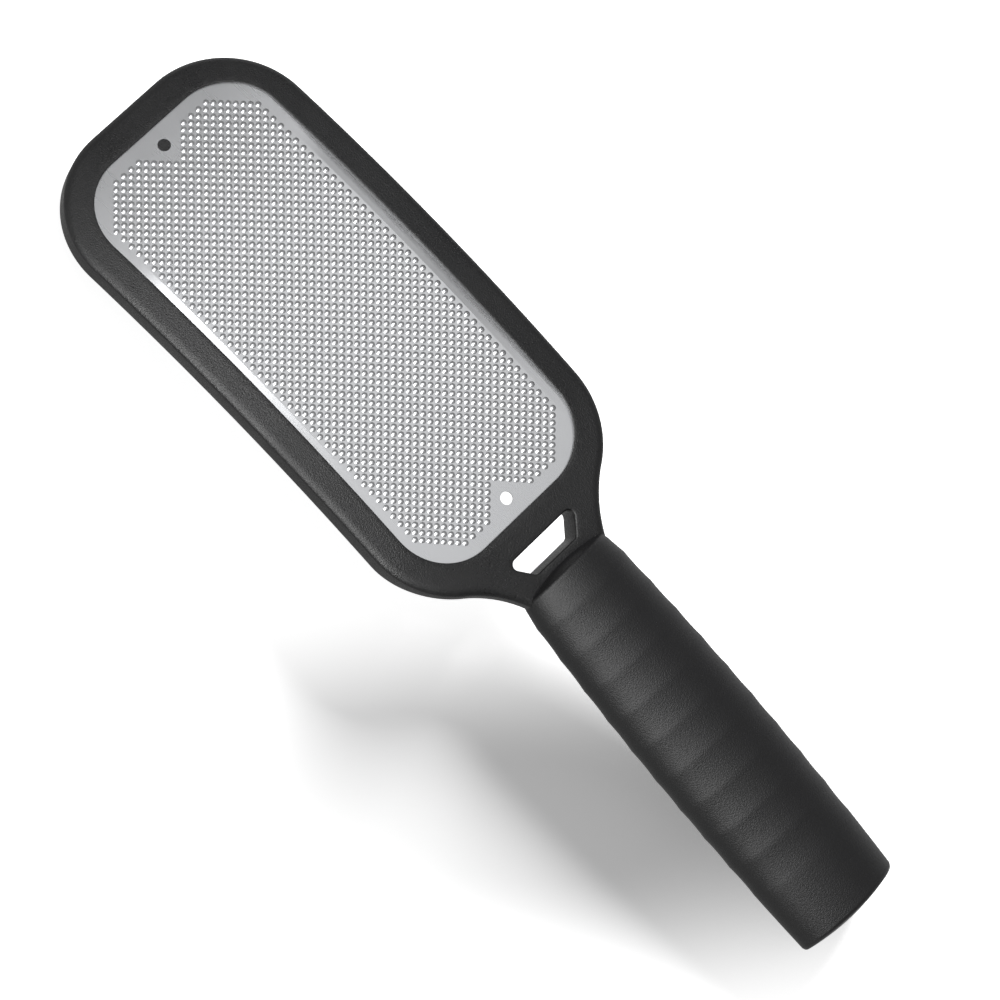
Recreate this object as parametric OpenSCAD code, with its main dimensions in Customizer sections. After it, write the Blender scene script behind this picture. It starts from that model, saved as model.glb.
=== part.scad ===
// A foot file: an arched plastic frame holds a toothed steel sheet,
// a ring behind the sheet keeps it in place, and a soft grip covers the tang.
// The model lies as it would on a table, face up, on the frame's tip and the grip's end.
// It is laid out about the sheet's highest point, with +X toward the grip.

/* [Frame] */
// Half of the length of the sheet that shows
open_half_l = 67.3; // [60:0.1:74]
// Half of the width of the sheet that shows
open_half_w = 29.2; // [27:0.1:32]
// Corner radius of the part that shows
open_corner_r = 16; // [12:0.1:18]
// Width of the frame's rim along the sheet's sides
side_rim_w = 7.65; // [6.5:0.05:9]
// Width of the frame's rim at the tip
tip_rim_w = 8.4; // [7:0.1:11]
// Corner radius of the frame at the tip
tip_corner_r = 25.5; // [22:0.1:28]
// Shoulder radius of the frame at the grip's side
shoulder_r = 26.5; // [24:0.1:28]
// Distance from the end of the sheet that shows back to the centres of the shoulders
shoulder_back = 16.5; // [14:0.1:18]
// Thickness of the frame, square to its face
frame_t = 8; // [7:0.1:10]
// Radius of the long arch of the frame's face
frame_arch_r = 374; // [340:1:420]
// Height of the frame's face over the sheet at the middle
lip_rise = 2.1; // [1.9:0.1:3]

/* [Neck] */
// Half of the width that the neck narrows to
neck_half_w = 10.3; // [9:0.1:12]
// Radius of the hollow curves that lead from the head into the neck
neck_curve_r = 36; // [30:0.5:40]
// Angle by which the grip drops from the head
drop_a = 11.6; // [8:0.1:14]
// Length of the neck that shows, from the sheet's end to the grip's front
neck_l = 17.1; // [16:0.1:20]
// Height of the grip's axis over the middle of the neck's thickness
grip_rise = 0.9; // [0:0.1:1.2]
// Depth to which the neck sits in the grip's mouth
neck_seat = 2.9; // [2:0.1:5]

/* [Hanging window] */
// Distance from the middle of the window to the grip's front
window_back = 6.4; // [5.9:0.1:6.9]
// Length of the window along the neck
window_l = 6.8; // [5:0.1:7.4]
// Width of the window's wide side
window_w = 25.2; // [20:0.1:28]
// Width of the window's narrow side
window_narrow_w = 14.4; // [10:0.1:16]
// Corner radius of the window
window_corner_r = 1.6; // [0.8:0.1:2.2]

/* [Sheet] */
// Width of the sheet's edge that the frame covers
ledge_w = 2.4; // [1.8:0.1:2.8]
// Radius of the sheet's long arch
sheet_arch_r = 478; // [440:1:560]
// Thickness of the steel
sheet_t = 0.5; // [0.4:0.1:0.8]
// Distance from each end of the sheet that shows to the round hole there
hole_back = 5.3; // [4.5:0.1:6.3]
// Radius of the two round holes
hole_r = 1.7; // [1.4:0.1:1.9]

/* [Teeth] */
// Distance from one row of teeth to the next
row_step = 1.344; // [1.3:0.002:1.6]
// Height of a tooth over the sheet
tooth_h = 0.75; // [0.4:0.05:1]
// Width of the bare margin at the ends of the toothed field
end_margin = 3.4; // [3:0.1:8]
// Width of the bare margin along the sides of the toothed field
side_margin = 2.95; // [2.9:0.05:7]
// Length cut from the field's corners, along plus across
corner_cut = 10.15; // [8:0.05:16]
// Distance from each round hole to the point of the bare notch round it
notch_l = 4.8; // [4:0.1:8]

/* [Retaining ring] */
// Width of the ring past the covered edge, under the bare margin
ring_inner_w = 2; // [1:0.1:2.2]
// Height by which the ring stays inside the frame's back face
ring_inset = 0.6; // [0.3:0.1:1.5]
// Length of a snap tab
tab_l = 8; // [5:0.5:12]
// Height of a snap tab
tab_h = 1.6; // [1:0.1:2.2]
// Depth to which a snap tab reaches into the frame
tab_d = 0.8; // [0.4:0.1:1.2]
// Thickness of the tongue that carries the peg
tongue_t = 2.4; // [1.6:0.1:3]
// Radius of the tongue's round end
tongue_r = 4.6; // [3.5:0.1:5.5]

/* [Grip] */
// Length of the grip along its axis, to the middle of its end
grip_l = 118.3; // [108:0.1:128]
// Largest half width of the grip
grip_half_w = 17.2; // [16:0.05:19]
// Largest half thickness of the grip
grip_half_t = 12.3; // [11:0.1:14]
// Radius of the grip's long belly
belly_r = 1000; // [800:10:1600]
// Distance from the grip's front to its widest place
belly_x = 69.6; // [60:0.1:76]
// Half width of the grip at its front
grip_front_half_w = 14; // [13.4:0.1:15]
// Radius of the grip's domed front
front_dome_r = 50; // [40:1:80]
// Radius of the grip's domed end
end_dome_r = 64; // [50:1:90]
// Distance from the grip's front to its first ridge
first_ridge_x = 7.7; // [6:0.1:9]
// Distance from ridge to ridge
ridge_step = 9.9; // [9:0.1:10.5]
// Number of shallow hollows between the ridges
hollow_n = 9; // [5:1:9]
// Depth of a hollow
hollow_d = 0.2; // [0.1:0.05:0.5]

/* [Tang] */
// Length of the tang inside the grip
tang_l = 84; // [60:1:95]
// Half width of the tang
tang_half_w = 9; // [7:0.1:10]
// Thickness of the tang
tang_t = 7; // [5:0.1:8]
// Radius of the notches in the tang's edges that lock the grip
tang_notch_r = 2.5; // [1.5:0.1:3.5]
// Number of notches along each edge
tang_notch_n = 4; // [2:1:5]

/* [Fits] */
// Clearance of the sheet and the ring in their pocket
pocket_gap = 0.15; // [0.05:0.05:0.3]
// Gap between faces that seat on each other
seat_gap = 0.02; // [0:0.01:0.05]
// Radial clearance of the peg in the sheet's hole
peg_gap = 0.1; // [0.05:0.05:0.2]

/* [Hidden] */
$fn = 96;
arc_fn = 720;
over = 1;
// Depth by which the neck's hollow curves dip into the shoulders where they meet
bite = 0.02;

// The long arches lie in the XZ plane, the frame's about arch_z and the sheet's about sheet_z
arch_z = lip_rise - frame_arch_r;
sheet_z = -sheet_arch_r;

// Places along the head and its width, all reckoned from the part of the sheet that shows
tip_reach = open_half_l + tip_rim_w;
frame_w = 2 * (open_half_w + side_rim_w);
shoulder_x = open_half_l - shoulder_back;
grip_front_x = open_half_l + neck_l;
window_x = grip_front_x - window_back;
hole_x = open_half_l - hole_back;

// Outline of the head: corner centres at the tip, shoulders and the hollow neck curves
tip_cx = tip_corner_r - tip_reach;
tip_cy = frame_w / 2 - tip_corner_r;
shoulder_y = frame_w / 2 - shoulder_r;
curve_y = neck_half_w + neck_curve_r;
centre_gap = shoulder_r + neck_curve_r - bite;
curve_x = shoulder_x + sqrt(pow(centre_gap, 2) - pow(curve_y - shoulder_y, 2));

// Pocket behind the lip, and the sheet that lies in it
pocket_half_l = open_half_l + ledge_w;
pocket_half_w = open_half_w + ledge_w;
pocket_corner_r = open_corner_r + ledge_w;
sheet_half_l = pocket_half_l - pocket_gap;
sheet_half_w = pocket_half_w - pocket_gap;
sheet_corner_r = pocket_corner_r - pocket_gap;
hole_a = asin(hole_x / sheet_arch_r);
peg_r = hole_r - peg_gap;

// Tooth grid: unit squares row_step wide, and a tooth on every second one
field_half_l = open_half_l - end_margin;
field_half_w = open_half_w - side_margin;
rows_l = floor(field_half_l / row_step);
field_end = (rows_l + 1 / 2) * row_step;
rows_w = floor(min(field_half_w / row_step, outline_w(field_end) / row_step - 1 / 2));
corner_rows = floor((field_half_l + field_half_w - corner_cut) / row_step);
notch_rows = ceil((hole_x - notch_l) / row_step);
cols = 2 * rows_l + 2;
lines = 2 * rows_w + 2;

// The grip's axis starts grip_rise over the neck's middle surface and drops by drop_a
mid_r = frame_arch_r - frame_t / 2;
grip_z = arch_z + grip_rise + sqrt(pow(mid_r, 2) - pow(grip_front_x, 2));
front_a = asin(grip_front_x / mid_r);
neck_end_a = asin((grip_front_x + neck_seat) / mid_r);
mouth_depth = frame_arch_r * sin(neck_end_a - front_a) + seat_gap;
end_x = grip_front_x + grip_l * cos(drop_a);
end_z = grip_z - grip_l * sin(drop_a);
front_sag = front_dome_r - sqrt(pow(front_dome_r, 2) - pow(grip_front_half_w, 2));

// Half width of the grip at a distance g from its front: taper, then the belly less its hollows
function belly(g) = grip_half_w - belly_r + sqrt(pow(belly_r, 2) - pow(g - belly_x, 2));
function hollow(g) =
    let (u = (g - first_ridge_x) / ridge_step, part = u - floor(u))
    u > hollow_n ? 0 : hollow_d * 4 * part * (1 - part);
function half_w(g) = g < first_ridge_x
    ? grip_front_half_w + (belly(first_ridge_x) - grip_front_half_w) * g / first_ridge_x
    : belly(g) - hollow(g);

// Lowest point of the grip's end: half thickness there, and its place along the grip
flatness = grip_half_t / grip_half_w;
heel_t = half_w(grip_l) * flatness;
heel_g = on_end(heel_t, 0);

// The part rests on the tip's lower edge and on the lower edge of the grip's end
back_r = frame_arch_r - frame_t;
tip_low_z = arch_z + sqrt(pow(back_r, 2) - pow(tip_reach, 2));
tip_high_z = arch_z + sqrt(pow(frame_arch_r, 2) - pow(tip_reach, 2));
heel_x = grip_front_x + heel_g * cos(drop_a) - heel_t * sin(drop_a);
heel_z = grip_z - heel_g * sin(drop_a) - heel_t * cos(drop_a);
rest_a = atan2(tip_low_z - heel_z, heel_x + tip_reach);
lift = tip_reach * sin(rest_a) - tip_low_z * cos(rest_a);
back_reach = -tip_reach * cos(rest_a) - tip_high_z * sin(rest_a);
front_reach = end_dome_r + (end_x - end_dome_r) * cos(rest_a) - end_z * sin(rest_a);
shift = -(back_reach + front_reach) / 2;

// Lays the part down as it rests, with the middle of its base at the origin
module at_rest() {
    translate([shift, 0, lift]) rotate([0, -rest_a, 0]) children();
}

// Stands a side view up in the XZ plane and gives it a width across
module across(w) {
    rotate([90, 0, 0]) linear_extrude(height = w, center = true) children();
}

// Gives a top view a height, far enough to pass the arched parts
module upright() {
    translate([0, 0, -frame_w]) linear_extrude(height = 2 * frame_w) children();
}

// Moves along the grip's axis from its front: +X along the grip, +Z square to its upper side
module on_grip(run) {
    translate([grip_front_x, 0, grip_z]) rotate([0, drop_a, 0]) translate([run, 0, 0]) children();
}

// Moves to a place of the frame turned by angle a about its arch: +X along the arch, +Z out of it
module on_arch(a, r) {
    translate([0, 0, arch_z]) rotate([0, a, 0]) translate([0, 0, r]) children();
}

// Rectangle with round corners, about the origin
module round_box(half_l, half_w, r) {
    translate([r - half_l, -half_w]) square([2 * (half_l - r), 2 * half_w]);
    translate([-half_l, r - half_w]) square([2 * half_l, 2 * (half_w - r)]);
    for (sx = [-1, 1], sy = [-1, 1])
        translate([sx * (half_l - r), sy * (half_w - r)]) circle(r = r);
}

// Top view of the head and neck
module head_outline() {
    translate([tip_cx, -frame_w / 2]) square([shoulder_x - tip_cx, frame_w]);
    translate([-tip_reach, -tip_cy]) square([tip_corner_r, 2 * tip_cy]);
    translate([shoulder_x, -shoulder_y]) square([shoulder_r, 2 * shoulder_y]);
    for (sy = [-1, 1]) {
        translate([tip_cx, sy * tip_cy]) circle(r = tip_corner_r);
        translate([shoulder_x, sy * shoulder_y]) circle(r = shoulder_r);
    }
    difference() {
        polygon([
            [shoulder_x, shoulder_y],
            [curve_x, curve_y],
            [curve_x, -curve_y],
            [shoulder_x, -shoulder_y]
        ]);
        for (sy = [-1, 1])
            translate([curve_x, sy * curve_y]) circle(r = neck_curve_r);
    }
}

// Side view of the arched frame and neck, up to the neck's end inside the grip
module arch_side() {
    translate([0, arch_z]) intersection() {
        difference() {
            circle(r = frame_arch_r, $fn = arc_fn);
            circle(r = back_r, $fn = arc_fn);
        }
        rotate(-neck_end_a) translate([-frame_arch_r, 0]) square([frame_arch_r, 2 * frame_arch_r]);
    }
}

// Top view of the hanging window, in the plane of the neck, with its wide side toward the head
module window_outline() {
    r = window_corner_r;
    slope = (window_w - window_narrow_w) / 2 / window_l;
    fold = sqrt(1 + pow(slope, 2));
    hull() for (sy = [-1, 1]) {
        translate([r, sy * (window_w / 2 - r * (fold + slope))])
            circle(r = r, $fn = 32);
        translate([window_l - r, sy * (window_narrow_w / 2 - r * (fold - slope))])
            circle(r = r, $fn = 32);
    }
}

// Tang inside the grip, grown by gap on every side
module tang(gap) {
    notch_step = tang_l / (tang_notch_n + 1);
    on_grip(0) difference() {
        union() {
            translate([0, -tang_half_w - gap, -tang_t / 2 - gap])
                cube([tang_l - tang_half_w, 2 * (tang_half_w + gap), tang_t + 2 * gap]);
            translate([tang_l - tang_half_w, 0, -tang_t / 2 - gap])
                cylinder(r = tang_half_w + gap, h = tang_t + 2 * gap);
        }
        for (i = [1:tang_notch_n], sy = [-1, 1])
            translate([i * notch_step - tang_notch_r, sy * tang_half_w, -tang_t])
                cylinder(r = tang_notch_r - gap, h = 2 * tang_t);
    }
}

// Places for the ring's snap tabs: distance along the head, and side
tab_x_shares = [-0.45, 0.45];

// Snap tabs, or their recesses when grown by gap: they stand out of the pocket wall by tab_d
module tabs(gap) {
    for (share = tab_x_shares, side = [0, 1])
        mirror([0, side, 0]) on_arch(asin(share * pocket_half_l / back_r), back_r + ring_inset)
            translate([-tab_l / 2 - gap, pocket_half_w - ledge_w / 2, tab_h / 2 - gap])
                cube([tab_l + 2 * gap, ledge_w / 2 + tab_d + gap, tab_h + 2 * gap]);
}

// Frame with its lip, pocket, neck, hanging window and tang
module head_frame() {
    color("#2b2b2d") at_rest() {
        difference() {
            intersection() {
                across(frame_w + 2 * over) arch_side();
                upright() head_outline();
            }
            upright() round_box(open_half_l, open_half_w, open_corner_r);
            intersection() {
                upright() round_box(pocket_half_l, pocket_half_w, pocket_corner_r);
                translate([0, 0, sheet_z]) across(frame_w) circle(r = sheet_arch_r + seat_gap, $fn = arc_fn);
            }
            on_arch(asin(window_x / frame_arch_r), mid_r)
                translate([-window_l / 2, 0, -frame_t]) linear_extrude(height = 2 * frame_t) window_outline();
            tabs(pocket_gap);
        }
        tang(0);
    }
}

// Tooth grid: half width of the sheet's outline at a distance x from the middle
function outline_w(x) =
    let (from_corner = abs(x) - (sheet_half_l - sheet_corner_r))
    from_corner <= 0 ? sheet_half_w
        : sheet_half_w - sheet_corner_r + sqrt(max(0, pow(sheet_corner_r, 2) - pow(from_corner, 2)));

// A point of the arched sheet: s along the arch, y across, h above the sheet's face
function arched(s, y, h) =
    let (a = s / sheet_arch_r * 180 / PI, r = sheet_arch_r + h)
    [r * sin(a), y, sheet_z + r * cos(a)];

// Distance along the arch of a place that lies x from the middle
function along(x) = asin(x / sheet_arch_r) * PI / 180 * sheet_arch_r;

// Stations past the toothed field, evenly turned round the corner to the sheet's end
end_n = 7;
field_turn = asin((sheet_arch_r * sin(field_end / sheet_arch_r * 180 / PI) - sheet_half_l
    + sheet_corner_r) / sheet_corner_r);
tail_s = [for (i = [1:end_n]) along(sheet_half_l - sheet_corner_r
    + sheet_corner_r * sin(field_turn + (90 - field_turn) * i / end_n))];
field_s = [for (i = [0:cols - 1]) (i - rows_l - 1 / 2) * row_step];
stations = concat([for (i = [end_n - 1:-1:0]) -tail_s[i]], field_s, tail_s);
station_n = len(stations);

// True on the squares that carry a tooth of the full field, and where the field's shape keeps it
function odd_square(p, q) = (abs(p) + abs(q)) % 2 == 1;
function has_tooth(p, q) = abs(p) + abs(q) <= corner_rows && abs(p) - abs(q) < notch_rows;

// Order of the tooth squares: the first one of a column, and how many come before the column
function first_q(p) = -rows_w + ((abs(p) + rows_w) % 2 == 1 ? 0 : 1);
function before(c) =
    floor(c / 2) * (2 * rows_w + 1) + (c % 2 == 0 ? 0 : (rows_l + rows_w) % 2 == 1 ? rows_w + 1 : rows_w);

// The sheet as one body: toothed face, bare margins round it, plain back
module toothed_sheet() {
    grid = [for (s = field_s, j = [0:lines - 1]) arched(s, (j - rows_w - 1 / 2) * row_step, 0)];
    tips = [for (p = [-rows_l:rows_l], q = [first_q(p):2:rows_w])
        arched(p * row_step, q * row_step, has_tooth(p, q) ? tooth_h : 0)];
    rim = [for (s = stations, h = [0, -sheet_t], sy = [-1, 1])
        arched(s, sy * outline_w(sheet_arch_r * sin(s / sheet_arch_r * 180 / PI)), h)];
    tip0 = len(grid);
    rim0 = tip0 + len(tips);
    last = station_n - 1;
    field_faces = [for (c = [0:cols - 2], j = [0:lines - 2])
        let (p = c - rows_l, q = j - rows_w, a = c * lines + j, b = a + lines)
        each odd_square(p, q)
            ? let (t = tip0 + before(c) + (q - first_q(p)) / 2)
                [[a, a + 1, t], [a + 1, b + 1, t], [b + 1, b, t], [b, a, t]]
            : [[a, a + 1, b], [a + 1, b + 1, b]]];
    margin_faces = [for (c = [0:cols - 2])
        let (a = c * lines, b = a + lines, e = a + lines - 1, f = b + lines - 1,
            m = rim0 + 4 * (c + end_n), n = m + 4)
        each [[m, a, b], [m, b, n], [e, m + 1, n + 1], [e, n + 1, f]]];
    left = rim0 + 4 * end_n;
    right = rim0 + 4 * (end_n + cols - 1);
    near = concat([left], [for (j = [0:lines - 1]) j], [left + 1]);
    far = concat([right], [for (j = [0:lines - 1]) (cols - 1) * lines + j], [right + 1]);
    end_faces = concat(
        [for (j = [0:lines]) [near[j + 1], near[j], left - 4]],
        [[left + 1, left - 4, left - 3]],
        [for (j = [0:lines]) [far[j], far[j + 1], right + 4]],
        [[right + 1, right + 5, right + 4]]);
    tail_faces = [for (k = [0:last - 1]) if (k < end_n - 1 || k >= end_n + cols)
        let (m = rim0 + 4 * k) each [[m, m + 1, m + 4], [m + 1, m + 5, m + 4]]];
    back_faces = [for (k = [0:last - 1])
        let (m = rim0 + 4 * k) each [
            [m + 2, m + 6, m + 3], [m + 6, m + 7, m + 3],
            [m, m + 4, m + 2], [m + 4, m + 6, m + 2],
            [m + 1, m + 3, m + 5], [m + 3, m + 7, m + 5]]];
    caps = [
        [rim0, rim0 + 2, rim0 + 1], [rim0 + 2, rim0 + 3, rim0 + 1],
        [rim0 + 4 * last, rim0 + 4 * last + 1, rim0 + 4 * last + 2],
        [rim0 + 4 * last + 1, rim0 + 4 * last + 3, rim0 + 4 * last + 2]];
    polyhedron(
        points = concat(grid, tips, rim),
        faces = concat(field_faces, margin_faces, end_faces, tail_faces, back_faces, caps));
}

// Places children at a hole of the sheet, +Z square to the steel
module at_hole(side) {
    translate([0, 0, sheet_z]) rotate([0, side * hole_a, 0]) translate([0, 0, sheet_arch_r]) children();
}

// Toothed steel sheet with its two round holes
module rasp_sheet() {
    color("#b9bbbe") at_rest() difference() {
        toothed_sheet();
        for (side = [-1, 1])
            at_hole(side) translate([0, 0, -2 * sheet_t]) cylinder(r = hole_r, h = 4 * sheet_t);
    }
}

// Ring behind the sheet, with snap tabs, and a tongue with a peg for the sheet's hole at the tip
module retaining_ring() {
    hold_half_w = open_half_w - ring_inner_w;
    hold_half_l = open_half_l - ring_inner_w;
    top_r = sheet_arch_r - sheet_t - seat_gap;
    color("#333336") at_rest() {
        difference() {
            intersection() {
                upright() round_box(sheet_half_l, sheet_half_w, sheet_corner_r);
                translate([0, 0, sheet_z]) across(frame_w) circle(r = top_r, $fn = arc_fn);
            }
            translate([0, 0, arch_z]) across(frame_w) circle(r = back_r + ring_inset, $fn = arc_fn);
            upright() round_box(hold_half_l, hold_half_w, open_corner_r - ring_inner_w);
        }
        intersection() {
            upright() {
                translate([-hole_x, 0]) circle(r = tongue_r);
                translate([-hold_half_l - ring_inner_w, -tongue_r])
                    square([hold_half_l + ring_inner_w - hole_x, 2 * tongue_r]);
            }
            translate([0, 0, sheet_z]) across(frame_w) difference() {
                circle(r = top_r, $fn = arc_fn);
                circle(r = top_r - tongue_t, $fn = arc_fn);
            }
        }
        at_hole(-1) translate([0, 0, -sheet_t - tongue_t / 2]) cylinder(r = peg_r, h = sheet_t + tongue_t / 2);
        difference() {
            tabs(0);
            upright() round_box(hold_half_l, hold_half_w, open_corner_r - ring_inner_w);
        }
    }
}

// Rings of the grip: where its oval is taken, its share of that oval, and the end dome that it lies on
ring_sides = 36;
hollow_steps = 3;
dome_shares = [0.45, 0.8, 1];
grip_rings = concat(
    [for (share = dome_shares) [0, share, -1]],
    [[first_ridge_x, 1, 0]],
    [for (i = [0:hollow_n - 1], k = [1:hollow_steps])
        [first_ridge_x + (i + k / hollow_steps) * ridge_step, 1, 0]],
    let (last = first_ridge_x + hollow_n * ridge_step, room = grip_l - grip_half_t / 2 - last)
        [for (k = [1, 2]) [last + room * k / 2, 1, 0]],
    [for (i = [2:-1:0]) [grip_l, dome_shares[i], 1]]);

// Distance from the grip's front of a point that lies on its front dome or on its upright end dome
function on_front(x, y) = front_dome_r - front_sag - sqrt(pow(front_dome_r, 2) - x * x - y * y);
function on_end(x, y) = grip_l - end_dome_r * cos(drop_a)
    + sqrt(pow(end_dome_r, 2) - pow(x - end_dome_r * sin(drop_a), 2) - y * y);

// The grip's outer body, standing on its front: X toward its underside, Y across its width
module grip_body() {
    n = ring_sides;
    rings = len(grip_rings);
    skin = [for (ring = grip_rings, i = [0:n - 1])
        let (w = ring[1] * half_w(ring[0]), x = w * flatness * cos(i * 360 / n), y = w * sin(i * 360 / n))
        [x, y, ring[2] < 0 ? on_front(x, y) : ring[2] > 0 ? on_end(x, y) : ring[0]]];
    poles = [[0, 0, on_front(0, 0)], [0, 0, on_end(0, 0)]];
    top = (rings - 1) * n;
    polyhedron(
        points = concat(skin, poles),
        faces = concat(
            [for (k = [0:rings - 2], i = [0:n - 1])
                let (a = k * n + i, b = k * n + (i + 1) % n)
                each [[a, a + n, b], [b, a + n, b + n]]],
            [for (i = [0:n - 1]) [i, (i + 1) % n, rings * n]],
            [for (i = [0:n - 1]) [top + (i + 1) % n, top + i, rings * n + 1]]));
}

// Soft grip, oval in section, hollow for the tang and open for the neck at its front
module grip_sleeve() {
    color("#3a3a3c") at_rest() difference() {
        on_grip(0) rotate([0, 90, 0]) grip_body();
        on_arch(front_a, back_r - seat_gap) translate([mouth_depth - frame_w, -frame_w / 2, 0])
            cube([frame_w, frame_w, frame_t + 2 * seat_gap]);
        tang(seat_gap);
    }
}

head_frame();
rasp_sheet();
retaining_ring();
grip_sleeve();
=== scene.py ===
# %% [markdown]
# # A foot file, dressed for the camera
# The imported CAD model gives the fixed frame: four solids, all on one body called root.
# This lesson lays finer surfaces over three of them, gives the fourth a finish, and lights the whole.
# Each shape is worked out with numpy in the file's own millimetres, then laid down as it rests.

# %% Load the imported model
import math

import bpy
import numpy as np
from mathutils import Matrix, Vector
from mathutils.geometry import delaunay_2d_cdt


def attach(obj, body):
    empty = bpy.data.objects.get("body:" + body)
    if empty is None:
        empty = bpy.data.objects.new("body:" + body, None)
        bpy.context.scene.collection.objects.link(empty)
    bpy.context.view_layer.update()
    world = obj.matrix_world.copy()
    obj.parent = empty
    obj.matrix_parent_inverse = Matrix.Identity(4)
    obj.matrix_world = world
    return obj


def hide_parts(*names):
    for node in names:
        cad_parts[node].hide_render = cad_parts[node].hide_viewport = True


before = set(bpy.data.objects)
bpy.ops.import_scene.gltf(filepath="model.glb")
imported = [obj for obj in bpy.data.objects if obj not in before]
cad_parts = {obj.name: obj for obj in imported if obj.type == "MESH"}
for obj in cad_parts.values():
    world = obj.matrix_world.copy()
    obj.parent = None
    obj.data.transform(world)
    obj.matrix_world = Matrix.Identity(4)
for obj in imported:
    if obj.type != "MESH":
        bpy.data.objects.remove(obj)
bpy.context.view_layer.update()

print("CAD nodes:", sorted(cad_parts))

# %% [markdown]
# ## Where the file lies
# The source of the solids is laid out about the highest point of the steel sheet, in millimetres.
# The file then tips forward until the frame's tip and the heel of the grip touch the table.
# One function does that to a whole array of points, so every new surface lands where its solid is.

# %% Lay points down on the table
REST_A = math.radians(6.68082)
SHIFT, LIFT = -64.4236, 22.5271
MM_PER_M = 1000


def lay_down(points):
    """Turns points by the rest angle about the Y axis, moves them onto the table, and gives metres."""
    p = np.asarray(points, float)
    x = SHIFT + p[..., 0] * math.cos(REST_A) - p[..., 2] * math.sin(REST_A)
    z = LIFT + p[..., 0] * math.sin(REST_A) + p[..., 2] * math.cos(REST_A)
    return np.stack([x, p[..., 1], z], -1) / MM_PER_M


print("top of the sheet lies at", np.round(lay_down([0, 0, 0]) * MM_PER_M, 1), "mm")

# %% [markdown]
# ## From arrays to one mesh
# A surface comes out of the later cells as patches: points and faces as arrays.
# Neighbouring patches work out the same edge points, and welding those that round alike joins them.
# The triangulation returns points in single precision, so a few round apart and stay double.
# Modifiers could weld and smooth as well, but numpy does it once, in the mesh data itself.
# An edge sharper than a stated angle stays crisp, and everything else shades smoothly.

# %% Join patches, weld them, and make the object
WELD_STEP = 1e-4
SHARP_DEG = 40


def join(patches):
    """Stacks the points of all patches and shifts each patch's face numbers by the points before it."""
    counts = np.cumsum([0] + [len(p) for p, f in patches])
    points = np.concatenate([p for p, f in patches])
    faces = np.concatenate([f + n for (p, f), n in zip(patches, counts)])
    return points, faces


def weld(points, faces):
    """Rounds points to a tenth of a micron, keeps one of each, and drops faces left with no area."""
    keys = np.round(points / WELD_STEP).astype(np.int64)
    _, first, to = np.unique(keys, axis=0, return_index=True, return_inverse=True)
    faces = to.reshape(-1)[faces]
    a, b, c = faces.T
    return points[first], faces[(a != b) & (b != c) & (c != a)]


def make_piece(name, patches, nodes, sharp_deg=SHARP_DEG):
    """Welds triangle patches in file millimetres, lays them down, and stands them in for CAD nodes."""
    points, faces = weld(*join(patches))
    mesh = bpy.data.meshes.new(name)
    mesh.vertices.add(len(points))
    mesh.vertices.foreach_set("co", lay_down(points).astype(np.float32).ravel())
    mesh.loops.add(faces.size)
    mesh.loops.foreach_set("vertex_index", faces.astype(np.int32).ravel())
    mesh.polygons.add(len(faces))
    mesh.polygons.foreach_set("loop_start", np.arange(0, faces.size, 3, dtype=np.int32))
    mesh.update(calc_edges=True)
    mesh.validate()
    mesh.polygons.foreach_set("use_smooth", np.ones(len(mesh.polygons), bool))
    mesh.set_sharp_from_angle(angle=math.radians(sharp_deg))
    piece = bpy.data.objects.new(name, mesh)
    bpy.context.scene.collection.objects.link(piece)
    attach(piece, "root")
    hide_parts(*nodes)
    print(f"{name}: {len(points)} points, {len(faces)} triangles")
    return piece


print("points that round to the same step of", WELD_STEP, "mm become one")

# %% [markdown]
# ## Two ways to fill a patch
# A wall is a stack of closed loops with the same number of points: each loop is joined to the next.
# A cap is a flat region with holes, seen from above: its loops and a grid of inner points
# go through a constrained Delaunay triangulation, and a height is given to the result afterwards.
# Boolean cuts would give the same holes, but leave long thin faces that shade badly on an arch.

# %% Walls from stacked loops
def loft(rings):
    """Joins ring k to ring k + 1 point by point; each four-sided gap becomes two triangles."""
    rings = np.asarray(rings, float)
    rows, n, _ = rings.shape
    k, i = np.meshgrid(np.arange(rows - 1), np.arange(n), indexing="ij")
    a, b = k * n + i, k * n + (i + 1) % n
    c, d = a + n, b + n
    faces = np.stack([np.stack([a, c, b], -1), np.stack([b, c, d], -1)], 2).reshape(-1, 3)
    return rings.reshape(-1, 3), faces


print("a wall of three loops of eight points has", len(loft(np.zeros((3, 8, 3)))[1]), "triangles")


# %% Caps from plan loops
def inside(loop, xy):
    """Counts, for each point, the loop's edges that a line toward +X crosses: an odd count is inside."""
    a, b = loop, np.roll(loop, -1, 0)
    x, y = xy[:, None, 0], xy[:, None, 1]
    spans = (a[:, 1] > y) != (b[:, 1] > y)
    rise = np.where(b[:, 1] == a[:, 1], 1e-12, b[:, 1] - a[:, 1])
    cross = a[:, 0] + (y - a[:, 1]) * (b[:, 0] - a[:, 0]) / rise
    return (spans & (x < cross)).sum(1) % 2 == 1


def in_region(loops, xy):
    """Which plan points lie inside the first loop and outside all the others."""
    keep = inside(loops[0], xy)
    for hole in loops[1:]:
        keep &= ~inside(hole, xy)
    return keep


def nearest(xy, others):
    """Distance from each plan point to the closest of the others: the root of the summed squares."""
    return np.sqrt(((xy[:, None] - others[None]) ** 2).sum(-1)).min(1)


def loop_edges(loops, start=0):
    """Pairs of point numbers round each loop, where the loops' points are numbered on from start."""
    starts = np.cumsum([start] + [len(l) for l in loops])
    return [(s + i, s + (i + 1) % len(l)) for s, l in zip(starts, loops) for i in range(len(l))]


def triangulate(corners, edges):
    """Constrained Delaunay triangulation: plan points and anticlockwise faces, with every edge kept."""
    out = delaunay_2d_cdt([Vector(p) for p in corners], edges, [], 0, 1e-9)
    return np.array([tuple(v) for v in out[0]]), np.array([f for f in out[2]])


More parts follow.
